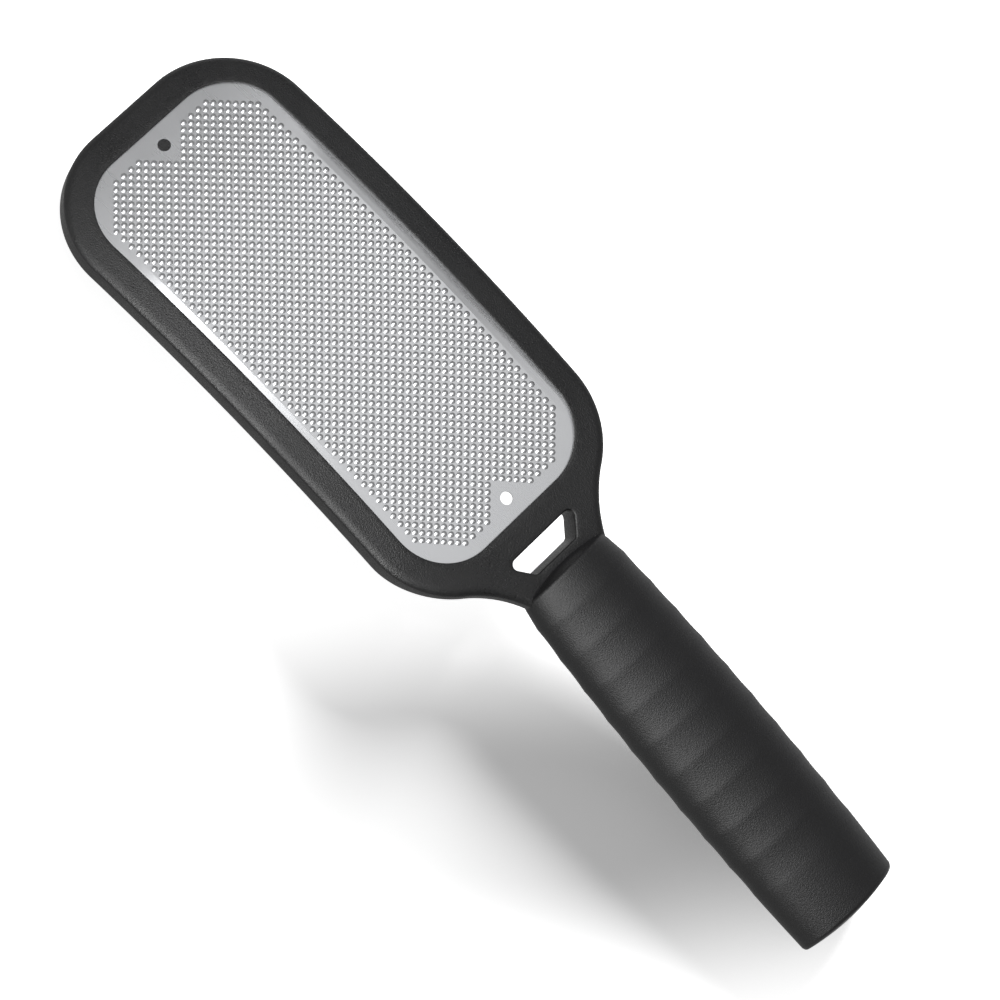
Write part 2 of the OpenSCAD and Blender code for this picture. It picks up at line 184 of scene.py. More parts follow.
def plan_cap(loops, step, margin=0.45):
    """Triangulates the region inside the first loop and outside the others, with a grid of inner points.

    Grid points closer to a loop than margin times the step are left out. Faces turn anticlockwise."""
    lo, hi = loops[0].min(0), loops[0].max(0)
    gx, gy = np.meshgrid(np.arange(lo[0] + step / 2, hi[0], step), np.arange(lo[1] + step / 2, hi[1], step))
    grid = np.stack([gx.ravel(), gy.ravel()], -1)
    grid = grid[in_region(loops, grid)]
    edge_points = np.concatenate(loops)
    grid = grid[nearest(grid, edge_points) > margin * step]
    xy, tris = triangulate(np.concatenate([edge_points, grid]), loop_edges(loops))
    return xy, tris[in_region(loops, xy[tris].mean(1))]


def raised(xy, height):
    """Gives each plan point the height that the function finds for it."""
    return np.column_stack([xy, height(xy)])


def level(xy, h):
    """Gives every plan point the same height."""
    return np.column_stack([xy, np.full(len(xy), h)])


unit_square = np.array([[0, 0], [1, 0], [1, 1], [0, 1.0]])
print("a unit square's cap at a step of 0.5 has", len(plan_cap([unit_square], 0.5)[1]), "triangles")

# %% [markdown]
# ## The frame's outlines
# Seen from above, the head is straight lines and arcs: round corners at the tip, round shoulders,
# then hollow curves that lead into the neck. Pulled in by a distance, every arc keeps its centre
# and only its radius changes, so loops at different depths of a rounded edge match point by point.
# A Bevel modifier on one outline would be less work, but it knows nothing of the arched face.

# %% Head outline in plan
TIP, HALF_W, TIP_R = 75.7, 36.85, 25.5
SHOULDER_X, SHOULDER_R, CURVE_R, NECK_HALF_W = 50.8, 26.5, 36.0, 10.3
ARC_OVERLAP = 0.02
SHOULDER_Y, CURVE_Y = HALF_W - SHOULDER_R, NECK_HALF_W + CURVE_R
CENTRES_APART = SHOULDER_R + CURVE_R - ARC_OVERLAP
CURVE_X = SHOULDER_X + math.sqrt(CENTRES_APART ** 2 - (CURVE_Y - SHOULDER_Y) ** 2)
CURVE_A = math.atan2(CURVE_Y - SHOULDER_Y, CURVE_X - SHOULDER_X)
NECKWARD_X, NECKWARD_L = 50, 22
SEARCH_POINTS = 300


def arc(cx, cy, r, start, end, n):
    """Points at a radius about a centre, evenly turned from start to end, the last one left out."""
    a = np.linspace(start, end, n, endpoint=False)
    return np.column_stack([cx + r * np.cos(a), cy + r * np.sin(a)])


def line(p, q, n):
    """Points evenly spread from p toward q, the last one left out."""
    t = np.linspace(0, 1, n, endpoint=False)[:, None]
    return (1 - t) * np.array(p, float) + t * np.array(q, float)


def mirror_half(half, last):
    """Closes a half outline that starts and ends on the middle line with its mirror image."""
    return np.concatenate([half, [last], half[:0:-1] * [1, -1]])


def neckward(x):
    """Share from 0 at the shoulders to 1 at the neck, eased at both ends: 3 t squared less 2 t cubed."""
    t = np.clip((x - NECKWARD_X) / NECKWARD_L, 0, 1)
    return t * t * (3 - 2 * t)


def head_loop(inset, neck_end, extra=0.0):
    """The head's outline pulled in by inset, anticlockwise: hollow curves grow and round ones shrink.

    Shoulders and neck are pulled in by extra more, as far as neckward() says. The angle at which the
    hollow curve reaches the neck's end is read off a finely divided curve."""
    a = np.linspace(math.pi + CURVE_A, math.pi * 1.5, SEARCH_POINTS)
    x = CURVE_X + (CURVE_R + inset + extra * neckward(CURVE_X + CURVE_R * np.cos(a))) * np.cos(a)
    stop = float(np.interp(neck_end, x, a))
    turn = np.linspace(stop, math.pi + CURVE_A, 40, endpoint=False)
    hollow = CURVE_R + inset + extra * neckward(CURVE_X + CURVE_R * np.cos(turn))
    curve = np.column_stack([CURVE_X + hollow * np.cos(turn), CURVE_Y + hollow * np.sin(turn)])
    turn = np.linspace(CURVE_A, math.pi / 2, 60, endpoint=False)
    round_r = SHOULDER_R - inset - extra * neckward(SHOULDER_X + SHOULDER_R * np.cos(turn))
    shoulder = np.column_stack([SHOULDER_X + round_r * np.cos(turn), SHOULDER_Y + round_r * np.sin(turn)])
    half = np.concatenate([
        line([neck_end, 0], [neck_end, curve[0, 1]], 8), curve, shoulder,
        line([SHOULDER_X, HALF_W - inset], [TIP_R - TIP, HALF_W - inset], 60),
        arc(TIP_R - TIP, HALF_W - TIP_R, TIP_R - inset, math.pi / 2, math.pi, 44),
        line([inset - TIP, HALF_W - TIP_R], [inset - TIP, 0], 8)])
    return mirror_half(half, [inset - TIP, 0])


print("neck curve starts", round(math.degrees(CURVE_A), 2), "degrees round the shoulder")

# %% Outline of the opening and the pocket
OPEN_L, OPEN_W, OPEN_R, LEDGE = 67.3, 29.2, 16.0, 2.4


def box_loop(half_l, half_w, r):
    """Rectangle with round corners, anticlockwise from the middle of its grip side."""
    x, y = half_l - r, half_w - r
    half = np.concatenate([
        line([half_l, 0], [half_l, y], 8), arc(x, y, r, 0, math.pi / 2, 30),
        line([x, half_w], [-x, half_w], 64), arc(-x, y, r, math.pi / 2, math.pi, 30),
        line([-half_l, y], [-half_l, 0], 8)])
    return mirror_half(half, [-half_l, 0])


opening = box_loop(OPEN_L, OPEN_W, OPEN_R)
print("opening", 2 * OPEN_L, "by", 2 * OPEN_W, "mm,", len(opening), "points round it")

# %% [markdown]
# ## The frame's body
# The real frame is one moulding: an arched face with a softly rounded outer edge, upright walls,
# and a pocket from behind that leaves a thin lip over the steel. Its face and back are arcs of
# two radii about one centre, so a height above the plan is all that each cap needs. The rim falls
# away a little from the opening to the outer edge, which is why its left side holds a wide highlight.

# %% Heights of the arched faces
FRAME_R, FRAME_T, LIP_RISE, SHEET_R, CROWN = 374.0, 8.0, 2.1, 478.0, 0.8
SEAT_GAP = 0.02
ARCH_Z = LIP_RISE - FRAME_R


def crown(xy):
    """Drop of the rim away from the opening, in proportion to the distance; it fades out at the neck."""
    corner = np.abs(xy) - [OPEN_L - OPEN_R, OPEN_W - OPEN_R]
    away = np.hypot(*np.maximum(corner, 0).T) - OPEN_R
    return CROWN * np.clip(away / (HALF_W - OPEN_W), 0, 1) * (1 - neckward(xy[:, 0]))


def face_z(xy):
    """Height of the face: the arch centre plus the root of radius squared less x squared, less the crown."""
    return ARCH_Z + np.sqrt(FRAME_R ** 2 - xy[:, 0] ** 2) - crown(xy)


def back_z(xy):
    """Height of the frame's back, the same arch with its radius less the frame's thickness."""
    return ARCH_Z + np.sqrt((FRAME_R - FRAME_T) ** 2 - xy[:, 0] ** 2)


def seat_z(xy):
    """Height of the ledge that the steel sheet lies against."""
    return np.sqrt((SHEET_R + SEAT_GAP) ** 2 - xy[:, 0] ** 2) - SHEET_R


print("rim drops by up to", CROWN, "mm over", round(HALF_W - OPEN_W, 2), "mm")

# %% The hanging window in the neck
GRIP_X, NECK_REACH, WINDOW_X = 84.4, 2.9, 78
WINDOW_L, WINDOW_W, WINDOW_END_W, WINDOW_R = 6.8, 25.2, 14.4, 1.6
NECK_END_A = math.asin((GRIP_X + NECK_REACH) / (FRAME_R - FRAME_T / 2))
WINDOW_A = math.asin(WINDOW_X / FRAME_R)


def window_loop(grow, depth, from_back=False):
    """The tapered window, grown by grow, on the neck's face or back less depth, clockwise from above.

    Each corner's centre lies its radius from both sides: the slanting side moves it by fold and slope."""
    slope = (WINDOW_W - WINDOW_END_W) / 2 / WINDOW_L
    fold = math.hypot(1, slope)
    lean = math.atan(slope)
    x1, y1 = WINDOW_R - WINDOW_L / 2, WINDOW_W / 2 - WINDOW_R * (fold + slope)
    x2, y2 = WINDOW_L / 2 - WINDOW_R, WINDOW_END_W / 2 - WINDOW_R * (fold - slope)
    r = WINDOW_R + grow
    half = np.concatenate([
        line([x1 - r, 0], [x1 - r, y1], 14), arc(x1, y1, r, math.pi, math.pi / 2 - lean, 14),
        line([x1 + r * math.sin(lean), y1 + r * math.cos(lean)],
             [x2 + r * math.sin(lean), y2 + r * math.cos(lean)], 8),
        arc(x2, y2, r, math.pi / 2 - lean, 0, 12), line([x2 + r, y2], [x2 + r, 0], 8)])
    s, y = mirror_half(half, [x2 + r, 0]).T
    radius = FRAME_R - FRAME_T + depth if from_back else FRAME_R - depth
    up = np.sqrt(radius ** 2 - s ** 2)
    return np.column_stack([up * math.sin(WINDOW_A) + s * math.cos(WINDOW_A), y,
                            ARCH_Z + up * math.cos(WINDOW_A) - s * math.sin(WINDOW_A)])


window_middle = lay_down(window_loop(0, FRAME_T / 2).mean(0)) * MM_PER_M
print("window centre lies at", np.round(window_middle, 1), "mm")

# %% Frame: caps, rounded edges, walls and pocket
EDGE_R, BACK_EDGE_R, LIP_EDGE_R, WINDOW_EDGE_R = 1.3, 0.5, 0.3, 0.6
UNDERCUT, EDGE_SPREAD = 4.6, 1.7
FACE_STEP, BACK_STEP = 1.6, 2.2


def rounded_edge(r, n):
    """Quarter circle from a flat face to an upright wall: pairs of distance from the wall and depth."""
    a = np.linspace(0, math.pi / 2, n + 1)
    return list(zip(r * (1 - np.sin(a)), r * (1 - np.cos(a))))


def outer_loops():
    """Loops from the face's edge down the wall to the back's edge, which is cut back toward the neck."""
    face_end = FRAME_R * math.sin(NECK_END_A)
    back_end = (FRAME_R - FRAME_T) * math.sin(NECK_END_A)
    loops = [raised(head_loop(d * EDGE_SPREAD, face_end), face_z) - [0, 0, h]
             for d, h in rounded_edge(EDGE_R, 9)]
    for d, h in reversed(rounded_edge(1.0, 8)):
        loop = head_loop(d * BACK_EDGE_R, back_end, d * UNDERCUT)
        rise = h * (BACK_EDGE_R + UNDERCUT * neckward(loop[:, 0]))
        loops.append(raised(loop, back_z) + np.outer(rise, [0, 0, 1]))
    return loops


def pocket_loops():
    """Loops down the lip's inner edge, out along the ledge that the sheet lies against, and to the back."""
    loops = [raised(box_loop(OPEN_L + d, OPEN_W + d, OPEN_R + d), face_z) - [0, 0, h]
             for d, h in rounded_edge(LIP_EDGE_R, 3)]
    pocket = box_loop(OPEN_L + LEDGE, OPEN_W + LEDGE, OPEN_R + LEDGE)
    return loops + [raised(opening, seat_z), raised(pocket, seat_z), raised(pocket, back_z)]


def frame_patches():
    """Face cap, back cap, outer wall, opening with ledge and pocket, and window, all sharing edge points."""
    outer, pocket = outer_loops(), pocket_loops()
    hole = [window_loop(d, h) for d, h in rounded_edge(WINDOW_EDGE_R, 5)]
    hole += [window_loop(d, h, True) for d, h in reversed(rounded_edge(BACK_EDGE_R, 3))]
    face_xy, face = plan_cap([outer[0][:, :2], pocket[0][:, :2], hole[0][:, :2]], FACE_STEP)
    back_xy, back = plan_cap([outer[-1][:, :2], pocket[-1][:, :2], hole[-1][:, :2]], BACK_STEP)
    caps = [(raised(face_xy, face_z), face), (raised(back_xy, back_z), back[:, ::-1])]
    return caps + [loft(outer), loft([loop[::-1] for loop in pocket]), loft(hole)]


print("rounded outer edge:", EDGE_R, "mm down and", round(EDGE_R * EDGE_SPREAD, 2), "mm across")

# %% [markdown]
# ## The tang
# The frame's moulding runs on inside the grip as a flat core, so that the soft sleeve has something
# stiff to hold. Round bites in its edges lock the sleeve. It could be left out, because the grip
# hides it, but the frame's own mesh would then end at the neck.

# %% Tang, and the whole moulding as one piece
DROP_A = math.radians(11.6)
GRIP_RISE = 0.9
GRIP_Z = ARCH_Z + math.sqrt((FRAME_R - FRAME_T / 2) ** 2 - GRIP_X ** 2) + GRIP_RISE
TANG_L, TANG_HALF_W, TANG_T, BITES, BITE_R, TANG_STEP = 84.0, 9.0, 7.0, 4, 2.5, 4.0


def along_grip(points):
    """From grip millimetres (along, across, up) to the file's: turned down by the drop angle."""
    g, y, h = np.moveaxis(np.asarray(points, float), -1, 0)
    return np.stack([GRIP_X + g * math.cos(DROP_A) + h * math.sin(DROP_A), y,
                     GRIP_Z - g * math.sin(DROP_A) + h * math.cos(DROP_A)], -1)


def tang_patches():
    """Core inside the grip: a flat bar with a round end and bitten edges, closed above and below."""
    bites = [arc(TANG_L / (BITES + 1) * i, TANG_HALF_W, BITE_R, math.pi, 2 * math.pi, 10)
             for i in range(1, BITES + 1)]
    half = np.concatenate([[[0, 0]], [[0, TANG_HALF_W]]] + bites +
                          [arc(TANG_L - TANG_HALF_W, 0, TANG_HALF_W, math.pi / 2, 0, 16)])
    outline = mirror_half(half, [TANG_L, 0])[::-1]
    xy, cap = plan_cap([outline], TANG_STEP)
    top, low = TANG_T / 2, -TANG_T / 2
    patches = [(level(xy, top), cap), (level(xy, low), cap[:, ::-1]),
               loft([level(outline, top), level(outline, low)])]
    return [(along_grip(p), f) for p, f in patches]


head = make_piece("moulded_frame", frame_patches() + tang_patches(), ["head_frame"])

# %% [markdown]
# ## The toothed steel sheet
# Each tooth of the real sheet is a small hole punched up from behind, so its rim stands like a crater.
# The teeth sit on every second square of a grid, which leaves rows at 45 degrees, 1.9 mm apart.
# One crater is a stack of eight-sided rings, from the diamond round it up over the rim and down
# through the steel, and numpy repeats it for every tooth at once. The bare margin is a plan cap.
# A normal or displacement pattern would be quicker, but then the mesh would be a smooth sheet.

# %% Tooth grid and the crater's profile
ROW_STEP, STEEL_T, SHEET_HALF_L, SHEET_HALF_W, SHEET_CORNER_R = 1.344, 0.5, 69.55, 31.45, 18.25
ROWS_L, ROWS_W, CORNER_ROWS, NOTCH_ROWS = 47, 19, 59, 43
HOLE_X, HOLE_R = 62.0, 1.7
TOOTH_SIDES, TOOTH_SHARP_DEG = 8, 31
CRATER = [(0.84, 0.0), (0.70, 0.09), (0.42, 0.25), (0.14, 0.275), (0.40, -STEEL_T)]


def tooth_places():
    """Rows and lines of the grid that carry a tooth: odd squares, inside the corners, off the notches."""
    p, q = np.meshgrid(np.arange(-ROWS_L, ROWS_L + 1), np.arange(-ROWS_W, ROWS_W + 1), indexing="ij")
    here = (np.abs(p) + np.abs(q)) % 2 == 1
    here &= (np.abs(p) + np.abs(q) <= CORNER_ROWS) & (np.abs(p) - np.abs(q) < NOTCH_ROWS)
    return np.column_stack([p[here], q[here]])


def bent(points):
    """Rolls a flat sheet (along, across, up) onto its arch: angle is length over radius."""
    s, y, h = np.moveaxis(np.asarray(points, float), -1, 0)
    return np.stack([(SHEET_R + h) * np.sin(s / SHEET_R), y,
                     (SHEET_R + h) * np.cos(s / SHEET_R) - SHEET_R], -1)


def eight_round(radii):
    """Plan points at eight even turns about a tooth's centre, each at its own radius."""
    a = np.arange(TOOTH_SIDES) * math.pi / 4
    return np.column_stack([radii * np.cos(a), radii * np.sin(a)])


def diamond_radii():
    """Radii of the square that a tooth owns, stood on its corner: corner, middle of a side, and so on."""
    return np.where(np.arange(TOOTH_SIDES) % 2 == 0, ROW_STEP, ROW_STEP / math.sqrt(2))


def teeth_patch():
    """One lofted crater (diamond, profile rings, diamond below) at every place, as one pair of arrays."""
    radii = [diamond_radii()] + [np.full(TOOTH_SIDES, r) for r, h in CRATER] + [diamond_radii()]
    heights = [0.0] + [h for r, h in CRATER] + [-STEEL_T]
    one, faces = loft([level(eight_round(r), h) for r, h in zip(radii, heights)])
    points = (one[None] + level(places * ROW_STEP, 0.0)[:, None]).reshape(-1, 3)
    shifts = np.arange(len(places))[:, None, None] * len(one)
    return points, (faces[None, :, ::-1] + shifts).reshape(-1, 3)


places = tooth_places()
print(len(places), "teeth,", round(ROW_STEP * math.sqrt(2), 2), "mm apart along a row")

# %% Bare margin of the sheet, cut round the toothed field
CLEAR_OF_TEETH, CLEAR_OF_EDGES = 1.2 * ROW_STEP, 0.6
SPARE_L, SPARE_W = 4, 5
ROW_CODE = 1000


def sheet_loops():
    """Outline and round holes of the sheet, rolled flat: the plan lengths become arc lengths."""
    flat = math.asin(SHEET_HALF_L / SHEET_R) * SHEET_R / SHEET_HALF_L
    outline = box_loop(SHEET_HALF_L, SHEET_HALF_W, SHEET_CORNER_R) * [flat, 1]
    hole_s = math.asin(HOLE_X / SHEET_R) * SHEET_R
    return [outline] + [arc(side * hole_s, 0, HOLE_R, 0, 2 * math.pi, 48) for side in (-1, 1)]


def field_border():
    """Half sides of the tooth squares that no second tooth shares: plan points and pairs of numbers."""
    ring = eight_round(diamond_radii())
    start = (places[:, None] * ROW_STEP + ring[None]).reshape(-1, 2)
    end = (places[:, None] * ROW_STEP + np.roll(ring, -1, 0)[None]).reshape(-1, 2)
    mid = np.round((start + end) / 2 / WELD_STEP).astype(np.int64)
    _, index, count = np.unique(mid, axis=0, return_index=True, return_counts=True)
    alone = index[count == 1]
    both = np.round(np.concatenate([start[alone], end[alone]]), 6)
    points, to = np.unique(both, axis=0, return_inverse=True)
    return points, [tuple(pair) for pair in to.reshape(2, -1).T]


def margin_grid(loops):
    """Squares between the teeth, carried on past the field, that are clear of teeth, holes and edge."""
    i, j = np.meshgrid(np.arange(-ROWS_L - SPARE_L, ROWS_L + SPARE_L + 1),
                       np.arange(-ROWS_W - SPARE_W, ROWS_W + SPARE_W + 1), indexing="ij")
    even = (i + j) % 2 == 0
    grid = np.column_stack([i[even], j[even]]) * ROW_STEP
    clear = nearest(grid, places * ROW_STEP) > CLEAR_OF_TEETH
    clear &= nearest(grid, np.concatenate(loops)) > CLEAR_OF_EDGES
    return grid[clear & inside(loops[0], grid)]


def in_tooth(xy):
    """Which plan points lie in a tooth's square: row and line from sums and differences, as one code."""
    cell = xy / ROW_STEP
    u, v = [2 * np.floor(w / 2) + 1 for w in (cell[:, 0] + cell[:, 1], cell[:, 0] - cell[:, 1])]
    p, q = ((u + v) / 2).astype(int), ((u - v) / 2).astype(int)
    return np.isin(p * ROW_CODE + q, places @ [ROW_CODE, 1])


def margin_cap(loops):
    """Triangles of the sheet outside every tooth's square, inside the outline and off the round holes."""
    border, edges = field_border()
    corners = np.concatenate([border] + loops + [margin_grid(loops)])
    xy, tris = triangulate(corners, edges + loop_edges(loops, len(border)))
    mid = xy[tris].mean(1)
    return xy, tris[in_region(loops, mid) & ~in_tooth(mid)]


def sheet_patches():
    """Teeth, margin above and below, outer edge and round holes, all rolled onto the arch."""
    loops = sheet_loops()
    xy, tris = margin_cap(loops)
    walls = [loft([level(loop, 0.0), level(loop, -STEEL_T)])
             for loop in [loops[0]] + [hole[::-1] for hole in loops[1:]]]
    patches = [teeth_patch(), (level(xy, 0.0), tris), (level(xy, -STEEL_T), tris[:, ::-1])] + walls
    return [(bent(p), f) for p, f in patches]


sheet = make_piece("toothed_sheet", sheet_patches(), ["rasp_sheet"], TOOTH_SHARP_DEG)

# %% [markdown]
# ## The soft grip
# The grip is an oval rubber sleeve over the tang. Along its length nine shallow hollows meet in
# ten low ridges. Its front is a dome that meets the neck, and its end a dome that stands upright.
# The surface is one function of a place along the grip and an angle round it, rather than a
# cylinder with edited loops, so that each ridge is as crisp and as high as its own numbers say.

# %% Grip: width along its length, and the two domes
GRIP_L, GRIP_W, FLATNESS = 118.3, 17.2, 12.3 / 17.2
BELLY_R, BELLY_X, FRONT_W, FRONT_R, END_R = 1000.0, 69.6, 14.0, 50.0, 64.0
RIDGE_X, RIDGE_STEP, HOLLOWS, HOLLOW_D, RIM_R = 7.7, 9.9, 9, 0.2, 0.9
FRONT_SAG = FRONT_R - math.sqrt(FRONT_R ** 2 - FRONT_W ** 2)


def belly(g):
    """Half width of the long belly, an arc of a large radius about the widest place."""
    return GRIP_W - BELLY_R + np.sqrt(BELLY_R ** 2 - (g - BELLY_X) ** 2)


def grip_half_w(g):
    """Belly less the hollows, which are parabolas between ridges, and a straight taper before the first."""
    g = np.asarray(g, float)
    part = (g - RIDGE_X) / RIDGE_STEP
    part = np.where(part > HOLLOWS, 0, part - np.floor(part))
    taper = FRONT_W + (belly(RIDGE_X) - FRONT_W) * g / RIDGE_X
    return np.where(g < RIDGE_X, taper, belly(g) - HOLLOW_D * 4 * part * (1 - part))


def front_g(x, y):
    """Place along the grip of its front dome, a sphere of FRONT_R about the axis."""
    return FRONT_R - FRONT_SAG - np.sqrt(FRONT_R ** 2 - x ** 2 - y ** 2)


def end_g(x, y):
    """Place along the grip of its end dome, a sphere of END_R that stands upright as the head does."""
    root = np.sqrt(END_R ** 2 - (x - END_R * math.sin(DROP_A)) ** 2 - y ** 2)
    return GRIP_L - END_R * math.cos(DROP_A) + root


print("grip is", round(2 * float(grip_half_w(BELLY_X)), 1), "mm wide at its belly")

# %% Grip: its rings and the piece
RING_POINTS, POINTS_PER_HOLLOW = 160, 12
JUST_BEFORE = 1e-6


def grip_patch():
    """Rings of the sleeve: front dome, rounded rim, body with ridges, rounded rim and end dome.

    As loft joins rings in this order, the faces point inwards."""
    a = np.arange(RING_POINTS) * 2 * math.pi / RING_POINTS
    cx, cy = FLATNESS * np.cos(a), np.sin(a)
    rings = []

    def add(width, g):
        """One ring: the oval times width, at place g along the grip, which may differ round the ring."""
        rings.append(np.stack(np.broadcast_arrays(g, width * cy, -width * cx), -1))

    end_w = float(grip_half_w(GRIP_L))
    rim = np.linspace(0, math.pi / 2, 7)
    for share in np.linspace(0, 1, 9)[:-1]:
        w = share * (FRONT_W - RIM_R)
        add(w, front_g(w * cx, w * cy))
    for t in rim:
        w = FRONT_W - RIM_R * (1 - math.sin(t))
        add(w, front_g(w * cx, w * cy) + RIM_R * (1 - math.cos(t)))
    front = front_g(FRONT_W * cx, FRONT_W * cy) + RIM_R
    for t in np.linspace(0, 1, 8)[1:-1]:
        g = front + t * (RIDGE_X - front)
        add(grip_half_w(np.minimum(g, RIDGE_X - JUST_BEFORE)), g)
    add(float(belly(RIDGE_X)), RIDGE_X)
    for step in np.arange(1, POINTS_PER_HOLLOW * HOLLOWS + 1) / POINTS_PER_HOLLOW:
        g = RIDGE_X + RIDGE_STEP * step
        add(float(grip_half_w(g)), g)
    last = RIDGE_X + RIDGE_STEP * HOLLOWS
    end = end_g(end_w * cx, end_w * cy) - RIM_R
    for t in np.linspace(0, 1, 12)[1:]:
        g = last + t * (end - last)
        add(belly(g), g)
    for t in rim[::-1]:
        w = end_w - RIM_R * (1 - math.sin(t))
        add(w, end_g(w * cx, w * cy) - RIM_R * (1 - math.cos(t)))
    for share in np.linspace(1, 0, 11)[1:]:
        w = share * (end_w - RIM_R)
        add(w, end_g(w * cx, w * cy))
    points, faces = loft(rings)
    return along_grip(points), faces


grip = make_piece("soft_grip", [grip_patch()], ["grip_sleeve"])

# %% [markdown]
# ## Finishes
# One helper turns a written sRGB colour to the linear values that the shader wants, and one adds a
# node with its settings and links. Every pattern reads Object coordinates, in metres, and its scale
# comes from a size on the real part: a grain of d millimetres is a noise scale of 1000 / d.

# %% Colour and node helpers
def linear(hex_colour):
    """sRGB hex to linear: low values divide by 12.92, the others follow the 2.4 power curve."""
    c = np.array([int(hex_colour[i:i + 2], 16) for i in (1, 3, 5)]) / 255
    c = np.where(c <= 0.04045, c / 12.92, ((c + 0.055) / 1.055) ** 2.4)
    return (*c.tolist(), 1.0)


def add_node(material, kind, inputs=None, **settings):
    """Adds a node, sets its attributes or named sockets, and gives each listed input a link or a number."""
    node = material.node_tree.nodes.new(kind)
    for key, value in settings.items():
        if hasattr(node, key):
            setattr(node, key, value)
        else:
            node.inputs[key.replace("_", " ")].default_value = value
    for socket, source in (inputs or {}).items():
        if isinstance(source, bpy.types.NodeSocket):
            material.node_tree.links.new(source, node.inputs[socket])
        else:
            node.inputs[socket].default_value = source
    return node


def new_finish(name):
    """An empty node material, its shader and its object coordinates."""
    material = bpy.data.materials.new(name)
    material.use_nodes = True
    shader = material.node_tree.nodes["Principled BSDF"]
    place = add_node(material, "ShaderNodeTexCoord").outputs["Object"]
    return material, shader, place


def dress(obj, material):
    """Puts the material in the object's only slot."""
    obj.data.materials.clear()
    obj.data.materials.append(material)


print("mid grey #808080 is", round(linear("#808080")[0], 3), "in linear light")

# %% [markdown]
# ## Black plastic of the frame
# The frame is polypropylene, black all through and injection moulded. The mould's steel was spark
# eroded, so the surface carries grain about a third of a millimetre across, and looks dull from
# afar and sparkling in its highlights. Grain in the bump alone would do from close by; here it
# also drives the roughness, with wide clouds where the melt cooled unevenly, so that the highlight
# on the rim breaks up as it does on the real part.

# %% Spark-eroded black plastic
def eroded_plastic(name, colour, grain_mm, bump):
    """Moulded polypropylene: roughness 0.24 to 0.50 from grain plus clouds, and bump from the grain."""
    cloud_mm, relief_m = 30, 0.00014
    m, shader, place = new_finish(name)
    grain = add_node(m, "ShaderNodeTexNoise", {"Vector": place}, Scale=MM_PER_M / grain_mm, Detail=3.0)
    cloud = add_node(m, "ShaderNodeTexNoise", {"Vector": place}, Scale=MM_PER_M / cloud_mm, Detail=2.0)
    uneven = add_node(m, "ShaderNodeMath", {0: grain.outputs["Fac"], 1: cloud.outputs["Fac"]},
                      operation="ADD")
    rough = add_node(m, "ShaderNodeMapRange", {"Value": uneven.outputs["Value"]},
                     From_Min=0.75, From_Max=1.25, To_Min=0.24, To_Max=0.50)
    raised_grain = add_node(m, "ShaderNodeBump", {"Height": grain.outputs["Fac"]},
                            Strength=bump, Distance=relief_m)
    shader.inputs["Base Color"].default_value = linear(colour)
    shader.inputs["IOR"].default_value = 1.49
    m.node_tree.links.new(rough.outputs["Result"], shader.inputs["Roughness"])
    m.node_tree.links.new(raised_grain.outputs["Normal"], shader.inputs["Normal"])
    return m


PLASTIC_GRAIN_MM = 0.36
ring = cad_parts["retaining_ring"]
dress(head, eroded_plastic("moulded_black_polypropylene", "#0f0f10", PLASTIC_GRAIN_MM, 1.0))
dress(ring, eroded_plastic("ring_black_polypropylene", "#121213", PLASTIC_GRAIN_MM, 0.8))
print("plastic on", head.name, "and", ring.name)

# %% [markdown]
# ## Stainless steel of the sheet
# Cold rolling leaves faint lines along the sheet, and the light polish after it a cloudy gloss.
# Pressed to its arch, such a sheet isn't quite flat: it waves by a few hundredths of a millimetre,
# and its long margins bend down toward the frame by less than half a millimetre. The bent margin
# catches the lamp as a thin bright line. Both could be modelled in the mesh, but then the teeth and
# the frame's lip would have to follow them, so they are heights for the bump. Its places and
# heights are in metres, as Object coordinates are.

# %% Semi-polished stainless sheet
ROLL_PER_M = (40, 1400, 40)
FLAT_HALF_M, MARGIN_SLOPE = 0.0268, -0.100
BEND_STARTS_M, BEND_ENDS_M = (-0.110, -0.094), (-0.055, 0.0)
WAVE_M, WAVE_MM = 0.00006, 12


def bent_margin(m, place):
    """Height of the long margins: the slope times the distance past the flat, between two eased ends."""
    split = add_node(m, "ShaderNodeSeparateXYZ", {"Vector": place})
    start = add_node(m, "ShaderNodeMapRange", {"Value": split.outputs["X"]},
                     interpolation_type="SMOOTHSTEP", From_Min=BEND_STARTS_M[0],
                     From_Max=BEND_STARTS_M[1], To_Min=0.0, To_Max=1.0)
    slope = add_node(m, "ShaderNodeMapRange", {"Value": split.outputs["X"]},
                     interpolation_type="SMOOTHSTEP", From_Min=BEND_ENDS_M[0], From_Max=BEND_ENDS_M[1],
                     To_Min=MARGIN_SLOPE, To_Max=0.0)
    along = add_node(m, "ShaderNodeMath", {0: start.outputs["Result"], 1: slope.outputs["Result"]},
                     operation="MULTIPLY")
    across = add_node(m, "ShaderNodeMath", {0: split.outputs["Y"]}, operation="ABSOLUTE")
    past = add_node(m, "ShaderNodeMath", {0: across.outputs["Value"], 1: FLAT_HALF_M},
                    operation="SUBTRACT")
    past = add_node(m, "ShaderNodeMath", {0: past.outputs["Value"], 1: 0.0}, operation="MAXIMUM")
    drop = add_node(m, "ShaderNodeMath", {0: past.outputs["Value"], 1: along.outputs["Value"]},
                    operation="MULTIPLY")
    return drop.outputs["Value"]


